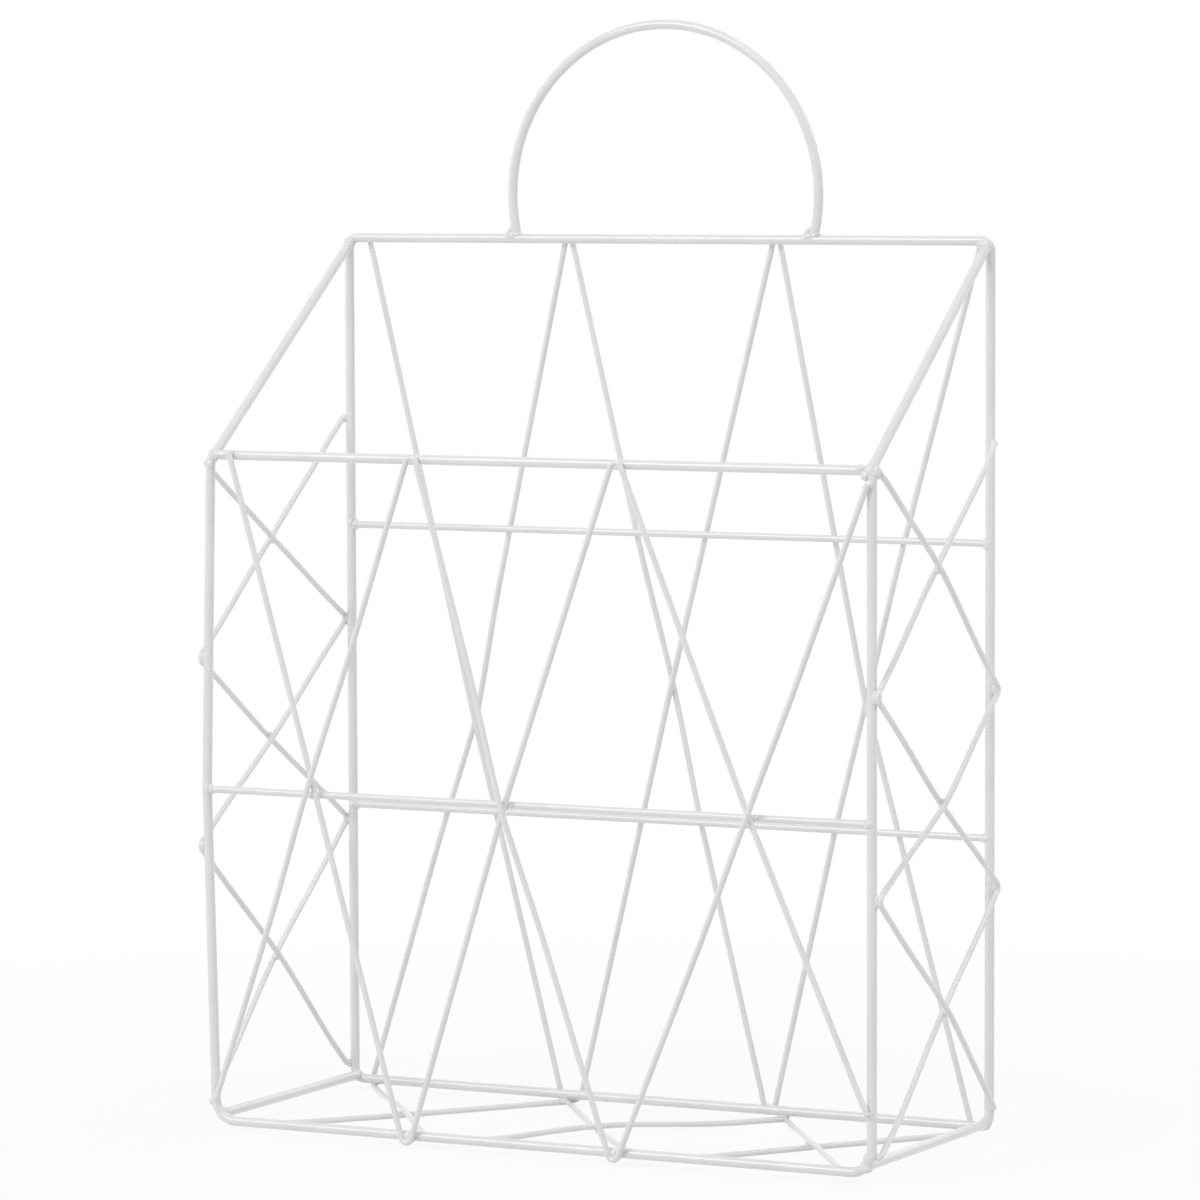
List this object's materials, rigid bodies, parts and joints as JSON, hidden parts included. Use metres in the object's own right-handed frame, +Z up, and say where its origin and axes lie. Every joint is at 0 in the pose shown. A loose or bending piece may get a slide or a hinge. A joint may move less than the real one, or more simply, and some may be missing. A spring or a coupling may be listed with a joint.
{
  "type": "wall magazine rack",
  "caption": "Open wire basket for magazines, welded from round steel wire with zigzag lattice walls and floor and an arched loop at the back to hang it on a wall",
  "frame": {"origin": "on the underside of the floor lattice, under the middle of the rack", "axes": "+X along the wall to the right seen from the front, +Y towards the wall, +Z up"},
  "size_m": [0.2929, 0.1266, 0.4328],
  "materials": {
    "white_powder_coat": "semi-gloss white powder coat on steel wire"
  },
  "bodies": {
    "root": {"back_frame": "white_powder_coat", "front_frame": "white_powder_coat", "left_upper_rail": "white_powder_coat", "left_lower_rail": "white_powder_coat", "right_upper_rail": "white_powder_coat", "right_lower_rail": "white_powder_coat", "front_stay": "white_powder_coat", "back_lower_stay": "white_powder_coat", "back_upper_stay": "white_powder_coat", "hanging_loop": "white_powder_coat", "back_lattice_a": "white_powder_coat", "back_lattice_b": "white_powder_coat", "front_lattice_a": "white_powder_coat", "front_lattice_b": "white_powder_coat", "right_side_lattice_a": "white_powder_coat", "right_side_lattice_b": "white_powder_coat", "left_side_lattice_a": "white_powder_coat", "left_side_lattice_b": "white_powder_coat", "floor_lattice_a": "white_powder_coat", "floor_lattice_b": "white_powder_coat"}
  },
  "joints": []
}
